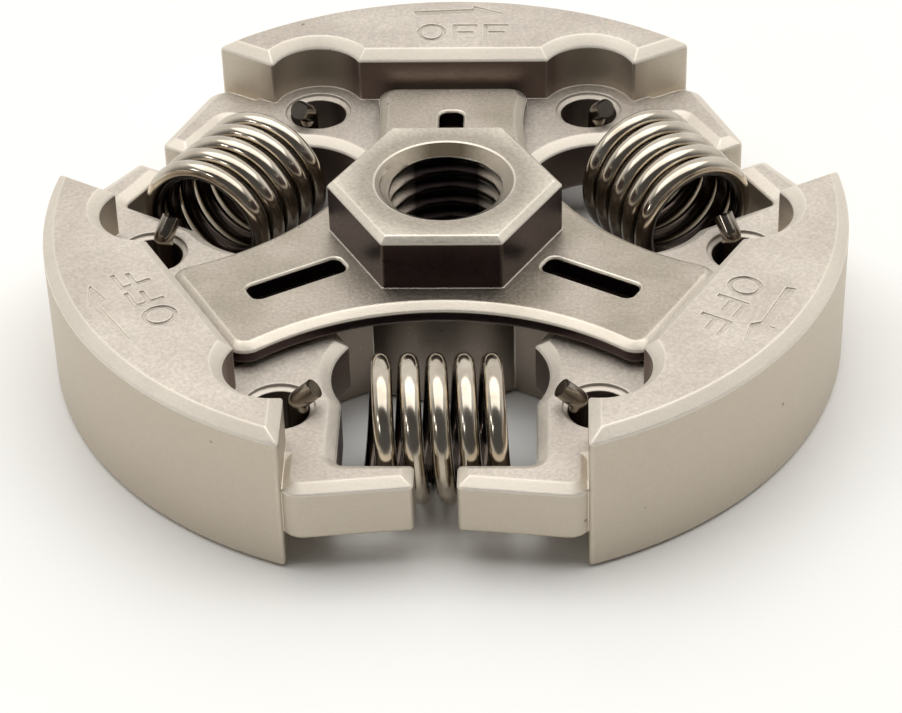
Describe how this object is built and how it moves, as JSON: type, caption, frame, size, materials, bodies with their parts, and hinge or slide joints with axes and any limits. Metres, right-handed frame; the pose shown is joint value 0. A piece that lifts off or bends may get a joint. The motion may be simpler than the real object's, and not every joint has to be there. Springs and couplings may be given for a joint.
{
  "type": "chainsaw clutch",
  "caption": "Centrifugal clutch: sliding shoes on a star-shaped hub with a hexagonal nose and a left-hand threaded bore, drawn together by coil springs.",
  "frame": {"origin": "on the clutch axis, at the lower end of the threaded bore and in the plane that the shoes rest on", "axes": "+Z along the clutch axis towards the hexagonal nose; +Y towards the middle of the back shoe"},
  "size_m": [0.075, 0.073, 0.017],
  "materials": {
    "hub_steel": "sintered, satin, edges burnished",
    "shoe_steel": "sintered, satin, edges burnished",
    "spring_wire": "drawn and oil tempered, glossy"
  },
  "bodies": {
    "hub": {"hub": "hub_steel", "spring_front": "spring_wire", "spring_right": "spring_wire", "spring_left": "spring_wire"},
    "back_shoe": {"shoe_back": "shoe_steel"},
    "left_shoe": {"shoe_left": "shoe_steel"},
    "right_shoe": {"shoe_right": "shoe_steel"}
  },
  "joints": [
    {"name": "back_shoe_slide", "type": "slide", "parent": "hub", "child": "back_shoe", "axis": [0, 1, 0], "range_m": [0, 0.0009], "stiffness_N_per_m": 4000, "springref_m": -0.002, "deforming": ["spring_left", "spring_right"]},
    {"name": "left_shoe_slide", "type": "slide", "parent": "hub", "child": "left_shoe", "axis": [-0.866, -0.5, 0], "range_m": [0, 0.0009], "stiffness_N_per_m": 4000, "springref_m": -0.002, "deforming": ["spring_left", "spring_front"]},
    {"name": "right_shoe_slide", "type": "slide", "parent": "hub", "child": "right_shoe", "axis": [0.866, -0.5, 0], "range_m": [0, 0.0009], "stiffness_N_per_m": 4000, "springref_m": -0.002, "deforming": ["spring_right", "spring_front"]}
  ]
}
